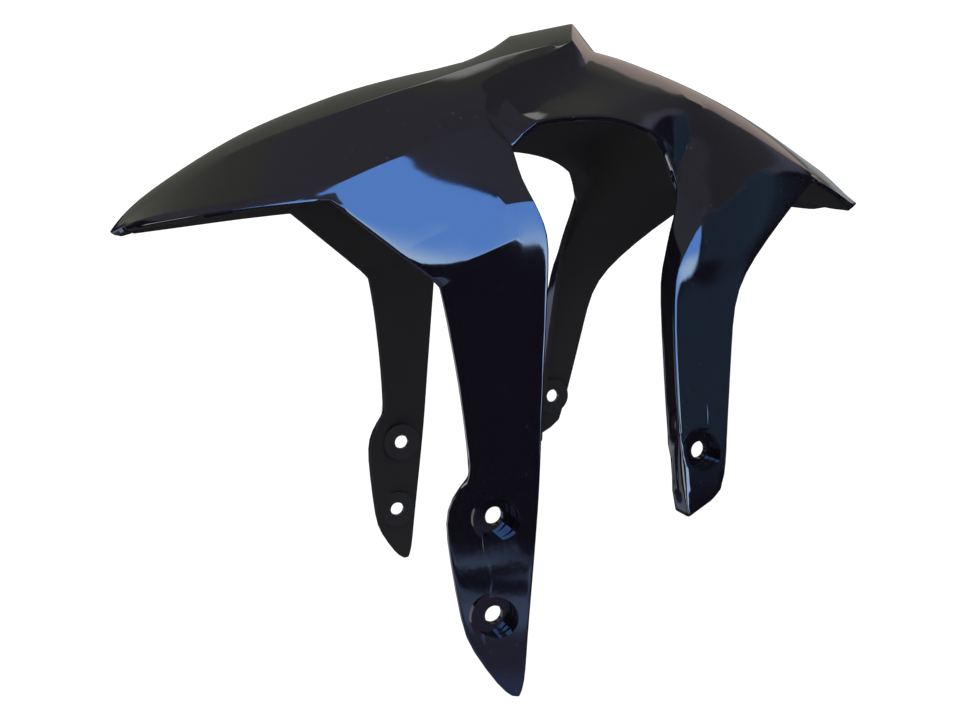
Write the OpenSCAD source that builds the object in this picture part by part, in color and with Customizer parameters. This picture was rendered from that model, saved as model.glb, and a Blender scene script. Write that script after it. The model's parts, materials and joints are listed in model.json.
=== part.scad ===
/* [Overall] */
// Length from the nose to the tip of the tail
length = 425; // [400:1:450]
// Height from the tips of the front legs to the top of the wedge
height = 320; // [300:1:340]
// Width over the tips of the front legs
width = 191; // [181:1:201]
// Thickness of the moulded wall
wall = 3; // [2:0.1:3.6]

/* [Crown] */
// Half width of the crown between the two shoulder lines
crown_half = 36; // [32:0.5:40]
// Rise of the middle of the crown over a straight line to the shoulder
crown_dome = 2.4; // [0.5:0.1:4]
// Height of the raised wedge over the line of the crown
wedge_rise = 12; // [6:0.5:16]
// Extra length of the wedge peak behind its shoulder corners
wedge_sweep = 17; // [8:1:24]

/* [Front legs] */
// Outward lean of the front legs, degrees from upright
front_splay = 3.7; // [3:0.1:7]
// Turn of the front legs seen from above, degrees
front_toe = 20.8; // [14:0.1:20]
// Height of the soft fold that runs down each front leg
front_fold = 0.8; // [0:0.1:3]
// Outward swell of the flared face over each front leg
front_swell = 1; // [0:0.1:3]

/* [Rear legs] */
// Outward lean of the rear legs, degrees from upright
rear_splay = 10.8; // [8:0.1:14]
// Turn of the rear legs seen from above, degrees
rear_toe = 5.7; // [2:0.1:9]
// Depth of the inward flange along the front of each rear leg
rear_flange = 12; // [7:0.5:14]
// Outward swell of the flared face over each rear leg
rear_swell = 2; // [0:0.1:4]

/* [Fixings] */
// Distance of the front holes behind the nose
front_hole_back = 162; // [158:0.5:166]
// Height of the lower front hole over the leg tips
front_hole_up = 36; // [32:0.5:40]
// Distance between the two front holes
front_hole_gap = 44; // [40:0.5:48]
// Distance of the rear hole behind the nose
rear_hole_back = 265.5; // [264:0.5:268]
// Height of the rear hole over the leg tips
rear_hole_up = 107; // [103:0.5:111]
// Diameter of the bolt holes
hole_d = 8.5; // [6:0.1:10]
// Diameter of the sunk seat round each hole
seat_d = 18.5; // [15:0.1:20]
// Depth of the upper front seat under the outer face at its middle
seat_upper = 5; // [3:0.1:6]
// Depth of the lower front seat under the outer face at its middle
seat_lower = 3; // [2.5:0.1:6]
// Depth of the rear seat under the outer face at its middle
seat_rear = 3.8; // [2.8:0.1:6]
// Thickness of the floor of the seat
seat_floor = 3; // [2:0.1:4]
// Width of the ring wall round the seat on the inner side
seat_ring = 2; // [1.2:0.1:3]

/* [Fineness] */
// Columns between two stations along the guard
fine = 3; // [2:1:4]

/* [Hidden] */
base_len = 425;
base_high = 319.5;
base_wide = 184;
kc = crown_half - 36;
kw = wedge_rise - 12;
ks = wedge_sweep - 17;
fs = tan(front_splay);
ft = tan(front_toe);
rs = tan(rear_splay);
rt = tan(rear_toe);

// All working points are distance behind the nose, half width, height over the leg tips.
// Stations run from the nose (0) to the tail (19):
// 3 hem corner, 7 wedge peak and rear of the front leg, 8 foot of the wedge,
// 13 end of the fork arch, 14 ridge of the rear leg, 17 rear corner.
spine = [
  [0, 0, 199], [12.2, 0, 214.6], [52, 0, 244.6], [90, 0, 265.3], [122, 0, 278.8], [176.5, 0, 296.8 + kw / 6],
  [191.5 + ks / 2, 0, 309.4 + kw * 0.7], [227 + ks, 0, 320.5 + kw], [241 + ks * 0.8, 0, 307.3],
  [255 + ks / 2, 0, 305.7], [269, 0, 303], [285, 0, 299.2], [299, 0, 295.4], [311, 0, 291.8],
  [323, 0, 287.6], [341, 0, 280.9], [361, 0, 272.5], [379, 0, 264.4], [401, 0, 252.6], [425, 0, 236.2]];

shoulder = [
  [2.5, 13, 199], [17, 19, 212], [51, 29 + kc / 2, 235], [85, 33.5 + kc, 251.5],
  [113, 35.5 + kc, 264], [136, 36 + kc, 273.5], [173, 36 + kc, 289.5 + kw / 2],
  [210, 35 + kc, 301.5 + kw], [219, 35 + kc, 292], [235, 35 + kc, 289.5], [251, 35 + kc, 286],
  [266, 35.5 + kc, 283], [277, 36 + kc, 280.5], [285, 36.5 + kc, 278], [295, 37.5 + kc, 275],
  [313, 39 + kc, 269], [334, 42 + kc / 2, 258.5], [350, 45, 248.5], [379, 31, 244.8], [418.5, 11, 237.8]];

// Lower border of the band: flare line, edge of the fork arch, flare line again, tail rim.
waist = [
  [7, 26, 201.5], [18.5, 37, 205.5], [49, 52, 212.5], [85, 58.5, 221], [110.2, 57.6, 233],
  [134.1, 57.3, 244.5],
  [155.4, 59.8, 252.5], [168, 65.8, 243.5], [179, 66.5, 255], [200, 66, 259.5], [221, 62.5, 261.5],
  [242.3, 58, 258.5], [256.2, 52.2, 250], [261.3, 54.4, 235], [275, 61, 234], [296, 60, 239.5],
  [322, 54.5, 245], [353, 46.5, 244.5], [385, 32, 239.2], [410, 17, 235.4]];

// Hem of the nose, then a line just under the flare line over the front leg.
hem = [
  [8, 27.5, 199.5], [19, 39, 202.5], [49.5, 54.3, 209], [89, 60.5, 215.5], [113.5, 58.7, 228],
  [136.6, 59.4, 238], [157.1, 63, 245], [168.8, 67.8, 239.5]];

// Fold between the flared face and the front leg, its front and rear ends.
fold_a = [132.2, 67.2, 184];
fold_b = [178.9, 80.5, 210];
fold_c = [135.8, 67.5, 180.5];
fold_d = [180.7, 82.1, 201];

// Outline of the front leg below the fold: distance behind the nose and height.
leg_front = [
  [136.1, 180.5], [139.4, 166], [144.8, 138], [148.6, 110], [149.4, 98.5], [142, 88], [139.8, 77.5],
  [142, 62], [147.5, 31], [151.5, 21], [164.2, 3.6], [169.2, 0.6]];
leg_rear = [
  [180.7, 201], [180.4, 181], [179.7, 150], [179.3, 128], [179, 110], [178.8, 98], [178.4, 86],
  [177.2, 62], [175.4, 32], [174.9, 20], [174.3, 6], [172.3, 0.5]];

// Edges of the flared face over the rear leg, from the flare line to the fold.
ridge_top = [[275, 61, 234], [267.8, 65.6, 220], [262.2, 68, 207], [257.3, 68.6, 197], [254.5, 69, 190]];
rear_top = [[353, 46.5, 244.5], [331.5, 55.5, 228], [310.5, 63.3, 209], [294, 69.2, 192], [286, 73.5, 177]];
flange_top = [
  [261.3, 54.4, 235], [259.6, 57.6, 223], [255.8, 58.2, 211], [254.3, 58.2, 199], [253, 57.6, 187]];

// Outline of the rear leg below the fold: ridge in front, free edge behind.
ridge_low = [
  [254.5, 190], [252.8, 165], [253, 140], [253.5, 117], [254, 100], [255, 86], [256.2, 76.5]];
rear_low = [
  [286, 177], [283.5, 156], [281, 134], [278.8, 115], [277, 101], [275, 90], [269.5, 84.5]];

function mix(a, b, u) = a + (b - a) * u;
function unit(v) = v / max(norm(v), 0.000001);

// Smooth curve through a list of points at place t, with kinks kept at the listed points.
function curve(k, kinks, t) =
  let (i = max(0, min(floor(t), len(k) - 2)), f = t - i, b = k[i], c = k[i + 1],
       sharp_b = i == 0 || len([for (q = kinks) if (q == i) q]) > 0,
       sharp_c = i == len(k) - 2 || len([for (q = kinks) if (q == i + 1) q]) > 0,
       a = sharp_b ? 2 * b - c : k[i - 1], d = sharp_c ? 2 * c - b : k[i + 2])
  b + f * ((c - a) / 2 + f * ((a - 2.5 * b + 2 * c - 0.5 * d)
    + f * (-0.5 * a + 1.5 * b - 1.5 * c + 0.5 * d)));

// Faces of the two legs as leaning planes.
function front_half(p) = 74.6 + (82 - p[1]) * fs + (p[0] - 141) * ft;
function rear_half(p) = 84.6 + (107 - p[1]) * rs + (p[0] - 263) * rt;
function on_front(p, out) = [p[0], front_half(p) + out, p[1]];
function on_rear(p) = [p[0], rear_half(p), p[1]];

// Columns: station values with finer steps between them.
steps = [2, fine, fine, fine, fine, fine, fine, 2, fine, fine, 2, 2, 2, 2, 2, fine, fine, fine, fine];
cols = concat([for (k = [0:18], u = [0:steps[k] - 1]) k + u / steps[k]], [19]);
NI = len(cols) - 1;
function col_of(k) = [for (i = [0:NI]) if (cols[i] == k) i][0];
ia = col_of(3);
ib = col_of(7);
ic = col_of(13);
id = col_of(14);
ie = col_of(17);

// Rows: 3 over the crown, 5 down the side wall, 1 lip, then the legs.
NB = 8;
face_rows = 5;
NA = NB + face_rows + len(leg_front) - 1;
NR = NB + 4 + len(ridge_low) - 1;

// Station pushes that form the ridge over the front leg and the hollow behind the arch.
push_s = [[4, 0], [6, -7], [7, -15], [8, 0]];
push_n = [[4, 0], [6, -6], [7, -18], [8, -4], [9, 0]];
hollow = [[10.5, 0], [11.5, -1.4], [12.5, -3.4], [13, -3.4], [13.5, -0.6], [14, 0]];
full = [[10.5, 0], [12.5, 0.8], [14, 2], [15, 1.5], [17, 0]];
lean = [[13, 0], [14, 7], [15, 3], [17, 0]];

function band(t, j) =
  let (s = curve(spine, [5, 6, 7, 8], t), h = curve(shoulder, [7, 8, 17], t),
       w = curve(waist, [7, 13, 14, 17], t))
  j <= 3 ? mix(s, h, j / 3) + [0, 0, crown_dome * lookup(t, [[0, 0], [2, 1], [6, 0.6], [7, 0.5],
      [8, 1], [14, 1.5], [18, 1.3], [19, 0]]) * 4 * (j / 3) * (1 - j / 3)]
  : let (v = (j - 3) / 5, a = 4 * v * (1 - v))
    mix(h, w, v) + [lookup(v, [[0, 0], [0.35, 1], [1, 0]]) * lookup(t, push_s)
        + lookup(v, [[0, 0], [0.35, 0], [0.75, 0.6], [1, 0]]) * lookup(t, push_n)
        + a * lookup(t, lean), a * lookup(t, full)
        + lookup(v, [[0, 0], [0.4, 0], [0.6, 0.8], [0.8, 1], [1, 0]]) * lookup(t, hollow), 0];

// Flared face over the front leg, down to the fold and its second edge.
function face_front(t, r) =
  let (u = (t - 3) / 4, top = curve(hem, [3], t), low = mix(fold_a, fold_b, u))
  r == face_rows ? mix(fold_c, fold_d, u)
  : let (v = (r - 1) / (face_rows - 2))
    mix(top, low, v) + [u * lookup(v, [[0, 0], [0.34, -2], [0.67, -1], [1, 0]]),
      front_swell * lookup(v, [[0, 0], [0.34, 0.5], [0.67, 1], [1, 0]])
      * lookup(u, [[0, -0.1], [0.25, -0.8], [0.5, -0.4], [0.75, 1.1], [1, 1]]), 0];

// Front leg with its soft fold, which starts a third of the way back and runs to the hole.
function leg_a(t, r) =
  let (u = (t - 3) / 4, f = leg_front[r], b = leg_rear[r], p = mix(f, b, u),
       m = min(0.8, 0.3 + r * 0.08), g = lookup(r, [[0, 0.3], [2, 1], [4, 1], [6, 0.3], [7, 0]]))
  on_front(p, front_fold * g * (u < m ? u / m : (1 - u) / (1 - m)));

function face_rear(t, r) =
  t <= 14 ? mix(flange_top[r], ridge_top[r], t - 13)
  : let (u = (t - 14) / 3, v = r / 4, a = ridge_top[0], b = rear_top[0],
         w = curve(waist, [7, 13, 14, 17], t))
    mix(ridge_top[r], rear_top[r], u) + (1 - v) * (w - mix(a, b, u))
      + [0, rear_swell * 4 * v * (1 - v) * min(1, u * 4) * min(1, (1 - u) * 4), 0];

function leg_b(t, r) =
  let (a = on_rear(ridge_low[r]), b = on_rear(rear_low[r]))
  t <= 14 ? a + (14 - t) * [r == 0 ? -1 : 0.5, -rear_flange, r == 0 ? -2 : 0] : mix(a, b, (t - 14) / 3);

function point(i, j) =
  let (t = cols[i])
  j <= NB ? band(t, j)
  : j == NB + 1 && i < ic ? curve(hem, [3], t)
  : i < ic ? (j <= NB + face_rows ? face_front(t, j - NB) : leg_a(t, j - NB - face_rows))
  : (j < NB + 4 ? face_rear(t, j - NB) : leg_b(t, j - NB - 4));

// Number of rows that each column has on one side.
function deep(i) = i < ia ? NB + 1 : i <= ib ? NA : i >= ic && i <= ie ? NR : NB;
tall = [for (i = [0:NI]) deep(i)];
function place(p) = [(0.5 - p[0] / base_len) * length, p[1] * width / base_wide,
  ((p[2] - 0.5) / base_high - 0.5) * height];
grid = [for (i = [0:NI]) [for (j = [0:tall[i]]) place(point(i, j))]];
function P(i, j) = j >= 0 ? grid[i][j] : [grid[i][-j][0], -grid[i][-j][1], grid[i][-j][2]];

function sums(v, i, s, r) = i == len(v) ? r : sums(v, i + 1, s + 2 * v[i] + 1, concat(r, [s]));
start = sums(tall, 0, 0, []);
count = start[NI] + 2 * tall[NI] + 1;
function at(i, j) = start[i] + tall[i] + j;

// A cell lies between two columns and two rows. It exists where both columns reach it.
function has(i, j) = let (k = j < 0 ? -j - 1 : j) i >= 0 && i < NI && k < NA
  && (k < NB || (k == NB && i < ib) || (i >= ia && i < ib) || (i >= ic && i < ie && k < NR));
function facing(i, j) = has(i, j)
  ? unit(cross(P(i, j + 1) - P(i + 1, j), P(i + 1, j + 1) - P(i, j))) : [0, 0, 0];
function inner(i, j) =
  let (n = [facing(i - 1, j - 1), facing(i - 1, j), facing(i, j - 1), facing(i, j)],
       m = unit(n[0] + n[1] + n[2] + n[3]),
       c = min([for (v = n) norm(v) > 0.5 ? v * m : 1]))
  P(i, j) - m * wall / max(0.72, c);

outer_points = [for (i = [0:NI], j = [-tall[i]:tall[i]]) P(i, j)];
inner_points = [for (i = [0:NI], j = [-tall[i]:tall[i]]) inner(i, j)];

function pair(a, b, c, d, turn) = turn ? [[a, b, d], [b, c, d]] : [[a, b, c], [a, c, d]];
function rim(a, b) = [[a, b, b + count], [a, b + count, a + count]];
function cell(i, j) =
  let (a = at(i, j), b = at(i + 1, j), c = at(i + 1, j + 1), d = at(i, j + 1), n = count)
  concat(pair(a, b, c, d, j < 0), pair(d + n, c + n, b + n, a + n, j < 0),
    has(i - 1, j) ? [] : rim(a, d), has(i + 1, j) ? [] : rim(c, b),
    has(i, j - 1) ? [] : rim(b, a), has(i, j + 1) ? [] : rim(d, c));
shell_faces = [for (i = [0:NI - 1], j = [-NA:NA - 1]) if (has(i, j)) each cell(i, j)];

// Middle of the outer face at each fixing on the left side, with the depth of its seat.
seats = [
  [place(on_front([front_hole_back, front_hole_up], 0)), seat_lower],
  [place(on_front([front_hole_back, front_hole_up + front_hole_gap], 0)), seat_upper],
  [place(on_rear([rear_hole_back, rear_hole_up])), seat_rear]];

module shell() {
  polyhedron(points = concat(outer_points, inner_points), faces = shell_faces, convexity = 10);
}

// Boss that carries the floor of a sunk seat on the inner side of the leg.
module seat_body(p, deep) {
  translate([p[0], p[1] - deep - seat_floor, p[2]])
    rotate([-90, 0, 0])
      cylinder(d = seat_d + 2 * seat_ring, h = deep + seat_floor - wall * 0.6, $fn = 64);
}

module seat_cut(p, deep) {
  translate([p[0], p[1] - deep, p[2]])
    rotate([-90, 0, 0])
      cylinder(d = seat_d, h = deep + 8, $fn = 64);
  translate([p[0], p[1] - deep - seat_floor - 6, p[2]])
    rotate([-90, 0, 0])
      cylinder(d = hole_d, h = seat_floor + 12, $fn = 64);
}

module mudguard() {
  color([0.02, 0.02, 0.03])
    difference() {
      union() {
        shell();
        for (s = seats) {
          seat_body(s[0], s[1]);
          mirror([0, 1, 0]) seat_body(s[0], s[1]);
        }
      }
      for (s = seats) {
        seat_cut(s[0], s[1]);
        mirror([0, 1, 0]) seat_cut(s[0], s[1]);
      }
    }
}

mudguard();
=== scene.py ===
import json
import math

import bmesh
import bpy
from mathutils import Matrix, Vector
from mathutils.bvhtree import BVHTree


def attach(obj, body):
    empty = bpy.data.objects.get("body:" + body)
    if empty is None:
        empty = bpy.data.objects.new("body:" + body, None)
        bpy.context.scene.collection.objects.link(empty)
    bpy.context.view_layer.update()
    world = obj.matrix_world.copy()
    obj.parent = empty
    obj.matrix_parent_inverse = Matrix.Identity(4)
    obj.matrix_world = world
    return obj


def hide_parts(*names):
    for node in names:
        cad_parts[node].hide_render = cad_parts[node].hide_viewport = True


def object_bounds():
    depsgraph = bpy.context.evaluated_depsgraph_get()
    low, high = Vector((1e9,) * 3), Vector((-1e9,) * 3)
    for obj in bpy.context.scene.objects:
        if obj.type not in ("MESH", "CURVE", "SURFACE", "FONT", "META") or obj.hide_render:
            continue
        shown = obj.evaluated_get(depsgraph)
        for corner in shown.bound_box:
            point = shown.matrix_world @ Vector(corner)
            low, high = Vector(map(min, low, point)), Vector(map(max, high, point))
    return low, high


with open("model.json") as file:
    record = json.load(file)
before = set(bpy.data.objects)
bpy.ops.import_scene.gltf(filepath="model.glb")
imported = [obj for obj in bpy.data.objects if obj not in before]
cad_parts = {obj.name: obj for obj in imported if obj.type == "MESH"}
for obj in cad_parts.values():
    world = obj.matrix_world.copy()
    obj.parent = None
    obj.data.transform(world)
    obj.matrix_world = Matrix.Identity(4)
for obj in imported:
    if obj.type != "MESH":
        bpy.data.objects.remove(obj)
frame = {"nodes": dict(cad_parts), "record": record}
cad_low, cad_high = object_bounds()

# The view of the photograph: level with the front of the mudguard, from its left side
# and a little above, with the nose to the left. The lens and the place were worked out
# from the matching bolt holes and edges of the two sides.
lens_mm = 31.95
sensor_mm = 36.0
near_clip = 0.01
far_clip = 50.0
camera_at = Vector((0.1895, 0.4253, 0.0308))
camera_right = Vector((-0.93715, 0.34645, 0.04135))
camera_up = Vector((0.0, -0.11850, 0.99295))
camera_back = Vector((0.34891, 0.93055, 0.11105))

camera_data = bpy.data.cameras.new("camera")
camera_data.lens = lens_mm
camera_data.sensor_width = sensor_mm
camera_data.clip_start = near_clip
camera_data.clip_end = far_clip
camera = bpy.data.objects.new("camera", camera_data)
bpy.context.scene.collection.objects.link(camera)
camera_turn = Matrix((camera_right, camera_up, camera_back)).transposed()
camera.matrix_world = Matrix.Translation(camera_at) @ camera_turn.to_4x4()
bpy.context.scene.camera = camera

# The mudguard: one injection moulding in plastic, painted gloss black outside and left
# satin inside. It hangs on the fork legs by six shouldered screws through sunk seats.
# Its skin is the moulded shell, with its rims and main folds rounded by the mould.
weld_gap = 0.00002
short_edge = 0.0006
flat_angle = math.radians(20.0)
quad_angle = math.radians(60.0)

# The rounding of the rims and folds, and the stray points that it may leave.
edge_round = 0.0006
round_steps = 2
stray_gap = 0.0003
rim_angle = math.radians(25.0)
fold_length = 0.0035

# The shallow folds of the side facets over the front legs.
facet_angle = math.radians(6.0)
facet_from_x = 0.022
facet_from_y = 0.052

# The fold down the front of each rear leg, below its knee.
leg_fold_angle = math.radians(14.0)
leg_fold_to_x = -0.035
leg_fold_from_y = 0.060
leg_fold_to_z = 0.028
leg_fold_upright = 0.8

# The shoulder lines along the nose.
shoulder_angle = math.radians(12.0)
shoulder_from_x = 0.010
shoulder_from_y = 0.025
shoulder_from_z = 0.030
shoulder_along = 0.75

# The sunk seats of the screws, whose edges stay as moulded.
seat_clear = 0.0135
seat_edge_angle = math.radians(30.0)
seat_places = [mount["pos_m"] for mount in frame["record"]["mounts"]]

# How far a face turns in and down before it counts as the inner side.
inner_lean = -0.35
paint_slot = 0
satin_slot = 1


def by_a_seat(point):
    """True close to the sunk seat of a screw."""
    return any(math.hypot(point.x - seat[0], point.z - seat[2]) < seat_clear for seat in seat_places)


def is_rounded(edge):
    """True for the rims of the shell and for its main folds, away from the seats."""
    start = edge.verts[0].co
    end = edge.verts[1].co
    if by_a_seat(start) or by_a_seat(end):
        return False
    angle = edge.calc_face_angle(0.0)
    length = edge.calc_length()
    if angle > rim_angle and length > short_edge:
        return True
    if length <= fold_length:
        return False
    least_x = min(start.x, end.x)
    least_y = min(abs(start.y), abs(end.y))
    if angle > facet_angle and least_x > facet_from_x and least_y > facet_from_y:
        return True
    on_rear_leg = (max(start.x, end.x) < leg_fold_to_x
                   and least_y > leg_fold_from_y
                   and max(start.z, end.z) < leg_fold_to_z)
    upright = abs(start.z - end.z) > leg_fold_upright * length
    if angle > leg_fold_angle and on_rear_leg and upright:
        return True
    on_nose = (least_x > shoulder_from_x
               and least_y > shoulder_from_y
               and min(start.z, end.z) > shoulder_from_z)
    lengthwise = abs(start.x - end.x) > shoulder_along * length
    return angle > shoulder_angle and on_nose and lengthwise


shell_mesh = frame["nodes"]["mudguard"].data.copy()
shell_mesh.name = "shell"
shell_form = bmesh.new()
shell_form.from_mesh(shell_mesh)
bmesh.ops.remove_doubles(shell_form, verts=shell_form.verts, dist=weld_gap)
moulded = BVHTree.FromBMesh(shell_form)
bmesh.ops.remove_doubles(shell_form, verts=[v for v in shell_form.verts if not by_a_seat(v.co)],
                         dist=short_edge)
bmesh.ops.join_triangles(shell_form, faces=shell_form.faces,
                         angle_face_threshold=flat_angle, angle_shape_threshold=quad_angle)
bmesh.ops.bevel(shell_form, geom=[edge for edge in shell_form.edges if is_rounded(edge)],
                offset=edge_round, offset_type="OFFSET", segments=round_steps, profile=0.5,
                affect="EDGES", clamp_overlap=False, material=-1)
for vert in shell_form.verts:
    place, _, _, gap = moulded.find_nearest(vert.co)
    if gap > stray_gap:
        vert.co = place
crease = shell_form.edges.layers.float.new("crease_edge")
for edge in shell_form.edges:
    if by_a_seat(edge.verts[0].co) and edge.calc_face_angle(0.0) > seat_edge_angle:
        edge[crease] = 1.0
        edge.smooth = False
for face in shell_form.faces:
    face.smooth = True
    side = 1.0 if face.calc_center_median().y > 0.0 else -1.0
    is_inner = face.normal.y * side + face.normal.z < inner_lean
    face.material_index = satin_slot if is_inner else paint_slot
shell_form.to_mesh(shell_mesh)
shell_form.free()
shell = bpy.data.objects.new("shell", shell_mesh)
bpy.context.scene.collection.objects.link(shell)
smooth = shell.modifiers.new("smooth", "SUBSURF")
smooth.levels = 1
smooth.render_levels = 1
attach(shell, "root")
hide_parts("mudguard")

# The paint outside: deep blue-black under a clear coat, with faint orange peel, wiping
# marks that dull it here and there, and fine specks of dust.
paint_colour = (0.0034, 0.0030, 0.0058, 1.0)
paint_ior = 2.0
coat_weight = 1.0
coat_roughness = 0.02
dust_colour = (0.045, 0.044, 0.042, 1.0)
dust_scale = 620.0
dust_from = 0.74
dust_full = 0.80
wipe_scale = 14.0
wipe_swirl = 1.5
wipe_from = 0.35
wipe_full = 0.75
clean_roughness = 0.03
wiped_roughness = 0.09
peel_scale = 260.0
peel_strength = 0.008
peel_depth = 0.001


def noise_on(tree, place, scale, detail, swirl=0.0):
    """Share of a noise pattern that is fixed to the piece."""
    noise = tree.nodes.new("ShaderNodeTexNoise")
    noise.inputs["Scale"].default_value = scale
    noise.inputs["Detail"].default_value = detail
    noise.inputs["Distortion"].default_value = swirl
    tree.links.new(place.outputs["Object"], noise.inputs["Vector"])
    return noise.outputs["Fac"]


def blend_by(tree, share, low_colour, high_colour, surface):
    """The base colour of a surface, between two colours by a share."""
    blend = tree.nodes.new("ShaderNodeMixRGB")
    blend.inputs["Color1"].default_value = low_colour
    blend.inputs["Color2"].default_value = high_colour
    tree.links.new(share, blend.inputs["Fac"])
    tree.links.new(blend.outputs["Color"], surface.inputs["Base Color"])


def raise_by(tree, height, strength, depth, surface):
    """A fine relief on a surface."""
    relief = tree.nodes.new("ShaderNodeBump")
    relief.inputs["Strength"].default_value = strength
    relief.inputs["Distance"].default_value = depth
    tree.links.new(height, relief.inputs["Height"])
    tree.links.new(relief.outputs["Normal"], surface.inputs["Normal"])


paint = bpy.data.materials.new("gloss_black_paint")
paint.use_nodes = True
paint_tree = paint.node_tree
paint_surface = paint_tree.nodes["Principled BSDF"]
paint_surface.inputs["IOR"].default_value = paint_ior
paint_surface.inputs["Coat Weight"].default_value = coat_weight
paint_surface.inputs["Coat Roughness"].default_value = coat_roughness
paint_place = paint_tree.nodes.new("ShaderNodeTexCoord")

specks = paint_tree.nodes.new("ShaderNodeMapRange")
specks.inputs["From Min"].default_value = dust_from
specks.inputs["From Max"].default_value = dust_full
dust = noise_on(paint_tree, paint_place, dust_scale, 1.0)
paint_tree.links.new(dust, specks.inputs["Value"])
blend_by(paint_tree, specks.outputs["Result"], paint_colour, dust_colour, paint_surface)

dulled = paint_tree.nodes.new("ShaderNodeMapRange")
dulled.inputs["From Min"].default_value = wipe_from
dulled.inputs["From Max"].default_value = wipe_full
dulled.inputs["To Min"].default_value = clean_roughness
dulled.inputs["To Max"].default_value = wiped_roughness
wipes = noise_on(paint_tree, paint_place, wipe_scale, 4.0, wipe_swirl)
paint_tree.links.new(wipes, dulled.inputs["Value"])
paint_tree.links.new(dulled.outputs["Result"], paint_surface.inputs["Roughness"])

peel = noise_on(paint_tree, paint_place, peel_scale, 2.0)
raise_by(paint_tree, peel, peel_strength, peel_depth, paint_surface)

# The inner side: the same plastic without paint. It is satin, with the fine grain of the
# mould and patches that are a little lighter.
satin_dark = (0.0120, 0.0115, 0.0130, 1.0)
satin_light = (0.0175, 0.0165, 0.0185, 1.0)
satin_roughness = 0.55
satin_shine = 0.22
patch_scale = 9.0
grain_scale = 1400.0
grain_strength = 0.25
grain_depth = 0.0002

satin = bpy.data.materials.new("satin_inner_side")
satin.use_nodes = True
satin_tree = satin.node_tree
satin_surface = satin_tree.nodes["Principled BSDF"]
satin_surface.inputs["Roughness"].default_value = satin_roughness
satin_surface.inputs["Specular IOR Level"].default_value = satin_shine
satin_place = satin_tree.nodes.new("ShaderNodeTexCoord")

patches = noise_on(satin_tree, satin_place, patch_scale, 5.0)
blend_by(satin_tree, patches, satin_dark, satin_light, satin_surface)
grain = noise_on(satin_tree, satin_place, grain_scale, 3.0)
raise_by(satin_tree, grain, grain_strength, grain_depth, satin_surface)

shell_mesh.materials[paint_slot] = paint
shell_mesh.materials.append(satin)

# The floor: plain and pale, and well below the part, which seems to hang over it.
# The gloss doesn't see it.
floor_drop = 0.45
floor_half = 8.0
floor_colour = (0.95, 0.95, 0.95, 1.0)
floor_roughness = 0.9

floor_mesh = bpy.data.meshes.new("floor")
floor_form = bmesh.new()
bmesh.ops.create_grid(floor_form, x_segments=1, y_segments=1, size=floor_half)
bmesh.ops.translate(floor_form, verts=floor_form.verts, vec=(0.0, 0.0, cad_low.z - floor_drop))
floor_form.to_mesh(floor_mesh)
floor_form.free()
floor = bpy.data.objects.new("floor", floor_mesh)
bpy.context.scene.collection.objects.link(floor)
floor.visible_glossy = False
floor_paint = bpy.data.materials.new("pale_floor")
floor_paint.use_nodes = True
floor_surface = floor_paint.node_tree.nodes["Principled BSDF"]
floor_surface.inputs["Base Color"].default_value = floor_colour
floor_surface.inputs["Roughness"].default_value = floor_roughness
floor_mesh.materials.append(floor_paint)

# The studio: white light from all sides, and dim soft panels round the part that only
# the gloss sees. A direction is given in degrees round the part, from the nose at 0 over
# its left side at 90, and in degrees up from level.
white_strength = 1.15
low_room = (0.010, 0.010, 0.020)
high_room = (0.128, 0.130, 0.180)
top_room = (0.115, 0.110, 0.130)
low_sky = (1.75, 2.55, 3.80)
high_sky = (0.52, 1.28, 3.45)
streak_scale = 3.0
streak_detail = 2.0
streak_swirl = 0.4
streak_squash = (1.0, 1.0, 14.0)
streak_from = 0.40
streak_full = 0.62

studio = bpy.data.worlds.new("studio")
studio.use_nodes = True
studio_tree = studio.node_tree
studio_tree.nodes.clear()
bpy.context.scene.world = studio
bpy.context.scene.view_settings.view_transform = "Standard"


def studio_node(kind, operation=None, values=()):
    """One node of the studio's light, with its inputs set or linked in their order."""
    node = studio_tree.nodes.new(kind)
    if operation:
        node.operation = operation
    for place, value in enumerate(values):
        if isinstance(value, bpy.types.NodeSocket):
            studio_tree.links.new(value, node.inputs[place])
        else:
            node.inputs[place].default_value = value
    return node


def step(value, start, end):
    """0 below start and 1 above end, smooth between them."""
    node = studio_node("ShaderNodeMapRange", None, (value, start, end, 0.0, 1.0))
    node.interpolation_type = "SMOOTHSTEP"
    return node.outputs[0]


def times(one, other):
    """The product of two shares."""
    return studio_node("ShaderNodeMath", "MULTIPLY", (one, other)).outputs[0]


def turned(value):
    """What a share leaves of one."""
    return studio_node("ShaderNodeMath", "SUBTRACT", (1.0, value)).outputs[0]


def along(way):
    """How far the direction that the gloss sees points along another one."""
    return studio_node("ShaderNodeVectorMath", "DOT_PRODUCT", (studio_way, way)).outputs["Value"]


studio_way = studio_node("ShaderNodeTexCoord").outputs["Generated"]
height_sine = studio_node("ShaderNodeSeparateXYZ", None, (studio_way,)).outputs[2]
height_angle = studio_node("ShaderNodeMath", "ARCSINE", (height_sine,)).outputs[0]


def rises(start, end):
    """0 below one height and 1 above another, in degrees."""
    return step(height_angle, math.radians(start), math.radians(end))


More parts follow.
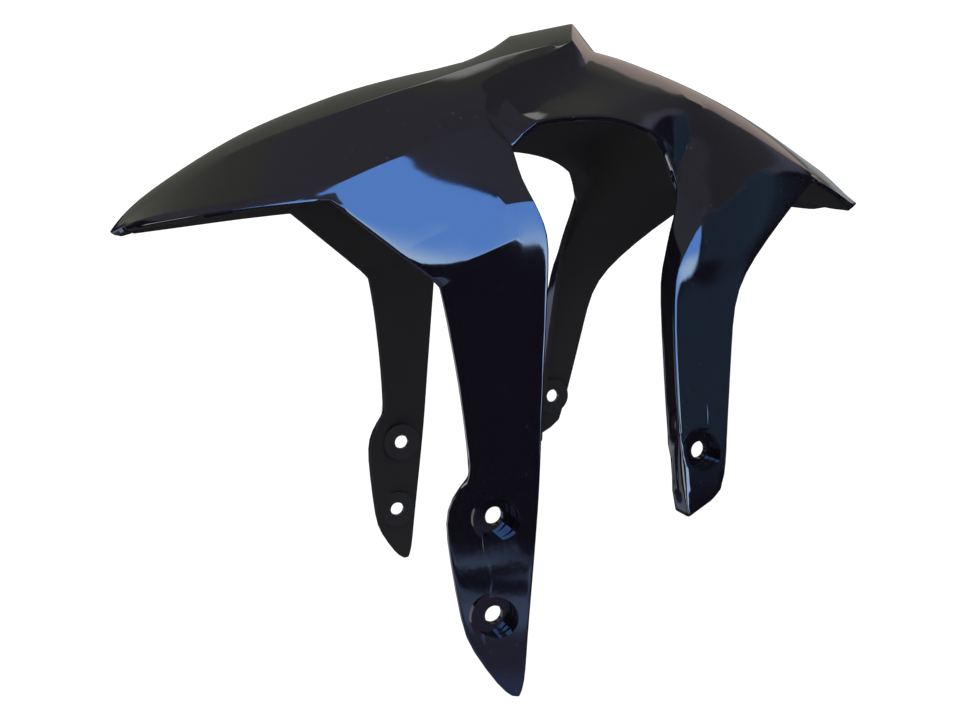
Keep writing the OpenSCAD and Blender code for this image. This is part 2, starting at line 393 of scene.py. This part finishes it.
def panel(middle, half, low, high, soft_side, soft_low, soft_high, low_fall=0.0, high_rise=0.0):
    """Share of a soft panel, in degrees: the middle and half width of it, its lower and
    upper limit, how softly each side fades, and how steeply the lower limit falls and
    the upper one rises across it."""
    ahead = Vector((math.cos(math.radians(middle)), math.sin(math.radians(middle)), 0.0))
    across = Vector((-ahead.y, ahead.x, 0.0))
    turn = studio_node("ShaderNodeMath", "ARCTAN2", (along(across), along(ahead))).outputs[0]
    away = studio_node("ShaderNodeMath", "ABSOLUTE", (turn,)).outputs[0]
    side = turned(step(away, math.radians(half - soft_side), math.radians(half)))
    low_line = studio_node("ShaderNodeMath", "MULTIPLY_ADD", (turn, low_fall, height_angle)).outputs[0]
    high_line = studio_node("ShaderNodeMath", "MULTIPLY_ADD", (turn, -high_rise, height_angle)).outputs[0]
    under = step(low_line, math.radians(low), math.radians(low + soft_low))
    over = turned(step(high_line, math.radians(high - soft_high), math.radians(high)))
    return times(times(side, under), over)


def lay(below, colour, share):
    """A colour laid over what is below it, by its share."""
    node = studio_tree.nodes.new("ShaderNodeMix")
    node.data_type = "RGBA"
    node.clamp_factor = True
    studio_tree.links.new(share, node.inputs["Factor"])
    for name, value in (("A", below), ("B", colour)):
        place = [s for s in node.inputs if s.name == name and s.type == "RGBA"][0]
        if isinstance(value, bpy.types.NodeSocket):
            studio_tree.links.new(value, place)
        else:
            place.default_value = (*value, 1.0)
    return [s for s in node.outputs if s.type == "RGBA"][0]


# The room round the panels, almost black below and dim above.
seen = lay(low_room, high_room, rises(27.0, 33.0))
seen = lay(seen, top_room, rises(45.0, 60.0))

# A darker ceiling behind the tail, on both sides.
seen = lay(seen, (0.072, 0.072, 0.082), panel(
    middle=170.0, half=64.0, low=36.0, high=100.0, soft_side=20.0, soft_low=6.0, soft_high=4.0))

# A dim olive wall on the right, with a bright strip high up in it.
seen = lay(seen, (0.12, 0.12, 0.10), panel(
    middle=-90.0, half=75.0, low=10.0, high=100.0, soft_side=15.0, soft_low=4.0, soft_high=4.0))
seen = lay(seen, (0.75, 0.75, 0.72), panel(
    middle=-90.0, half=45.0, low=64.0, high=80.0, soft_side=10.0, soft_low=4.0, soft_high=4.0))

# Two dim blue panels below level on the left, and blue streaks over them.
seen = lay(seen, (0.070, 0.065, 0.115), panel(
    middle=70.0, half=60.0, low=-60.0, high=-16.0, soft_side=20.0, soft_low=6.0, soft_high=1.5))
seen = lay(seen, (0.10, 0.13, 0.30), panel(
    middle=70.0, half=40.0, low=-60.0, high=-19.0, soft_side=20.0, soft_low=6.0, soft_high=0.6))
streaks = studio_tree.nodes.new("ShaderNodeTexNoise")
streaks.inputs["Scale"].default_value = streak_scale
streaks.inputs["Detail"].default_value = streak_detail
streaks.inputs["Distortion"].default_value = streak_swirl
streak_way = studio_node("ShaderNodeVectorMath", "MULTIPLY", (studio_way, streak_squash)).outputs[0]
studio_tree.links.new(streak_way, streaks.inputs["Vector"])
wavy = step(streaks.outputs["Fac"], streak_from, streak_full)
seen = lay(seen, (0.20, 0.29, 0.52), times(wavy, panel(
    middle=68.0, half=30.0, low=-17.6, high=-12.0, soft_side=12.0, soft_low=1.5, soft_high=1.0)))

# A dim teal panel behind on the left, and beside it the large blue one, paler below.
seen = lay(seen, (0.040, 0.085, 0.140), panel(
    middle=135.0, half=34.0, low=4.0, high=42.0, soft_side=10.0, soft_low=6.0, soft_high=6.0))
seen = lay(seen, lay(low_sky, high_sky, rises(6.0, 22.0)), panel(
    middle=80.0, half=25.0, low=7.0, high=31.2, soft_side=3.0, soft_low=1.0, soft_high=1.0,
    low_fall=0.6, high_rise=0.12))

# A grey and a blue-grey panel low down on the right, and a white one in front, a little
# to the left.
seen = lay(seen, (0.30, 0.30, 0.34), panel(
    middle=-82.0, half=12.0, low=-40.0, high=-5.0, soft_side=6.0, soft_low=6.0, soft_high=3.0))
seen = lay(seen, (0.25, 0.29, 0.42), panel(
    middle=-55.0, half=16.0, low=-30.0, high=3.0, soft_side=5.0, soft_low=6.0, soft_high=3.0))
seen = lay(seen, (1.7, 1.7, 1.8), panel(
    middle=22.0, half=20.0, low=-30.0, high=10.0, soft_side=6.0, soft_low=6.0, soft_high=6.0))

# A warm panel behind on the right, and a grey one below it.
seen = lay(seen, (0.40, 0.325, 0.295), panel(
    middle=-138.0, half=22.0, low=18.0, high=46.0, soft_side=4.0, soft_low=4.0, soft_high=4.0))
seen = lay(seen, (0.30, 0.32, 0.34), panel(
    middle=-138.0, half=24.0, low=9.0, high=18.0, soft_side=4.0, soft_low=3.0, soft_high=3.0))

glossy = studio_node("ShaderNodeLightPath").outputs["Is Glossy Ray"]
white_room = studio_node("ShaderNodeBackground", None, ((1.0, 1.0, 1.0, 1.0), white_strength))
dim_room = studio_node("ShaderNodeBackground", None, (seen, 1.0))
mixed = studio_tree.nodes.new("ShaderNodeMixShader")
studio_tree.links.new(glossy, mixed.inputs[0])
studio_tree.links.new(white_room.outputs[0], mixed.inputs[1])
studio_tree.links.new(dim_room.outputs[0], mixed.inputs[2])
studio_out = studio_tree.nodes.new("ShaderNodeOutputWorld")
studio_tree.links.new(mixed.outputs[0], studio_out.inputs["Surface"])
